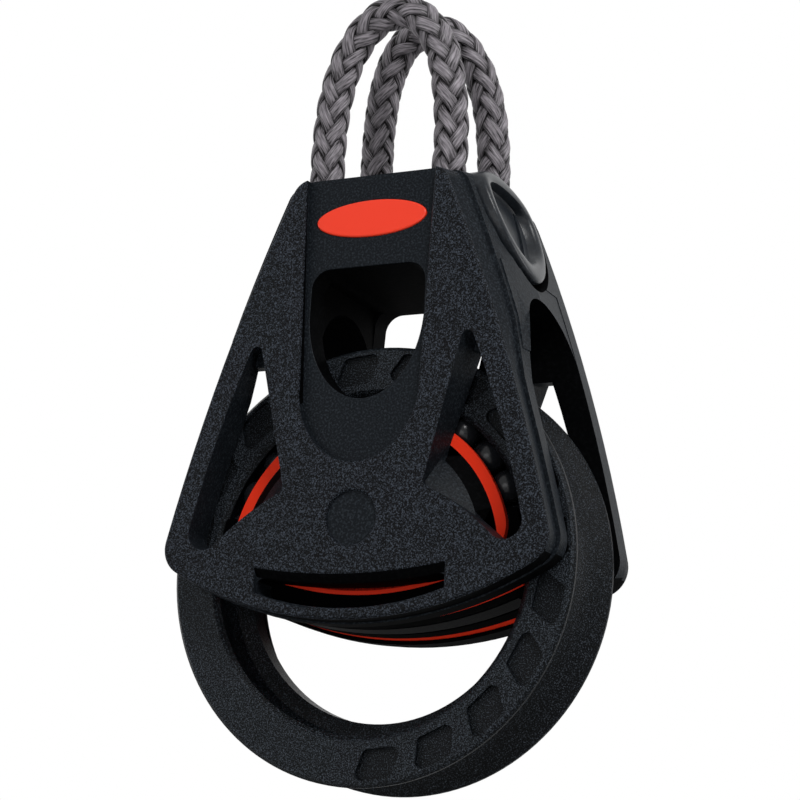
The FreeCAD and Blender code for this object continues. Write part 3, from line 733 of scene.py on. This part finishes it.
# The near-black is painted shade for the dark inside of the bearing.
RED, BEARING_SHADE = (0.80, 0.036, 0.012), (0.0008, 0.0008, 0.001)
race_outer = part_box("front_race")[1][0] / MM
race_red = banded_red("race_red", RED, BEARING_SHADE, rough=0.40, gloss=0.05,
                      from_y=RACE_RED_Y, arc_z=0.0, from_r=race_outer - RACE_RED_WIDTH)
guide_red = banded_red("guide_red", RED, BEARING_SHADE, rough=0.85, gloss=0.01,
                       from_y=GUIDE_RED_Y, arc_z=GUIDE_ARC_Z, from_r=GUIDE_RED_FROM_R)
lip_red = gloss_plastic("lip_red", RED, rough=0.35, gloss=0.1)
for name in ("front_race", "rear_race"):
    dress(name, race_red)
race_lip("front_race_lip", -1, lip_red)
race_lip("rear_race_lip", 1, lip_red)
for name in ("front_ball_guide", "rear_ball_guide"):
    dress(name, guide_red)
ball_grey = gloss_plastic("ball_grey", colour=(0.010, 0.011, 0.013), rough=0.2, gloss=0.25)
dress("front_balls", ball_grey)
dress("rear_balls", ball_grey)
core_black = textured_black("core_black", grain=0.3, depth=0.02, pit_shade=(0.001, 0.001, 0.0015),
                            peak_glint=(0.003, 0.0035, 0.004), rough=0.6, gloss=0.03)
dress("bearing_core", core_black)


# The sheave.
# One moulded black ring with a rope groove, ball races inside and shallow pockets in its flanges.

# Painted shade darkens the sheave's sunk groove between its flanges, nearer the middle than
# SHEAVE_RAISED_Y.
SHEAVE_RAISED_Y = 4.72
sheave_black = textured_black("sheave_black", grain=0.12, depth=0.06, pit_shade=(0.0015, 0.002, 0.0025),
                              peak_glint=(0.056, 0.067, 0.082), rough=0.34, gloss=0.07,
                              raised_y=SHEAVE_RAISED_Y, sunk_shade=0.05)
dress("sheave", sheave_black)


# The saddles and their leaf caps.
# Smooth black mouldings let into the sides of the head, which lead the rope round. Each ends outside
# in a leaf-shaped cap with a raised rim round a pocket, and a dark gap all round it.

LEAF_PROUD = 0.7
LEAF_RIM = (
    (0.0, -2.6), (0.0, -0.35), (0.1, -0.12), (0.3, 0.0), (0.75, 0.0),
    (0.95, -0.10), (1.08, -0.4), (1.2, -1.1), (1.45, -1.32), (2.0, -1.35))
LEAF_FLOOR = ((0.75, -1.35), (0.4, -1.35))
LEAF_SHARP_DEG = 50
SIDE_RIM, TOP_RIM, FOOT_RIM = 1.0, 1.3, 1.9


def leaf_cap(name, side, paint):
    """The rim's rings go inward by shares of its width, and the floor's shrink towards the middle."""
    edge = leaf_outline(0.0)
    toward = LEAF_MIDDLE - edge
    reach = np.linalg.norm(toward, axis=1)[:, None]
    toward = toward / reach
    rim = SIDE_RIM + (TOP_RIM - SIDE_RIM) * np.clip(-toward[:, 1], 0, 1) ** 2 + (
        FOOT_RIM - SIDE_RIM) * np.clip(toward[:, 1], 0, 1) ** 2
    rings = []
    for inward, depth in LEAF_RIM + LEAF_FLOOR:
        if len(rings) < len(LEAF_RIM):
            points = edge + toward * (inward * rim)[:, None]
        else:
            points = LEAF_MIDDLE + (points - LEAF_MIDDLE) * inward
        rings.append([(side * (front_half(z) + rear_extra(z) + LEAF_PROUD + depth), y, z)
                      for y, z in points])
    cap = placed(name, prism(rings))
    cap.data.materials.append(paint)
    for face in cap.data.polygons:
        face.use_smooth = True
    cap.data.set_sharp_from_angle(angle=math.radians(LEAF_SHARP_DEG))
    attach(cap, "frame")


saddle_black = textured_black("saddle_black", grain=0.35, depth=0.012, pit_shade=(0.010, 0.012, 0.015),
                              peak_glint=(0.018, 0.022, 0.027), rough=0.30, gloss=0.2)
dress("left_saddle", saddle_black)
dress("right_saddle", saddle_black)
leaf_cap("left_leaf_cap", -1, saddle_black)
leaf_cap("right_leaf_cap", 1, saddle_black)


# The pins.
# Four ground steel pins inside the cheeks: two through the core and two through the head.

pin_steel = bpy.data.materials.new("pin_steel")
pin_steel.use_nodes = True
steel = pin_steel.node_tree.nodes["Principled BSDF"]
steel.inputs["Base Color"].default_value = (0.55, 0.55, 0.57, 1.0)
steel.inputs["Metallic"].default_value = 1.0
steel.inputs["Roughness"].default_value = 0.3
for name in ("left_hub_pin", "right_hub_pin", "left_head_pin", "right_head_pin"):
    dress(name, pin_steel)
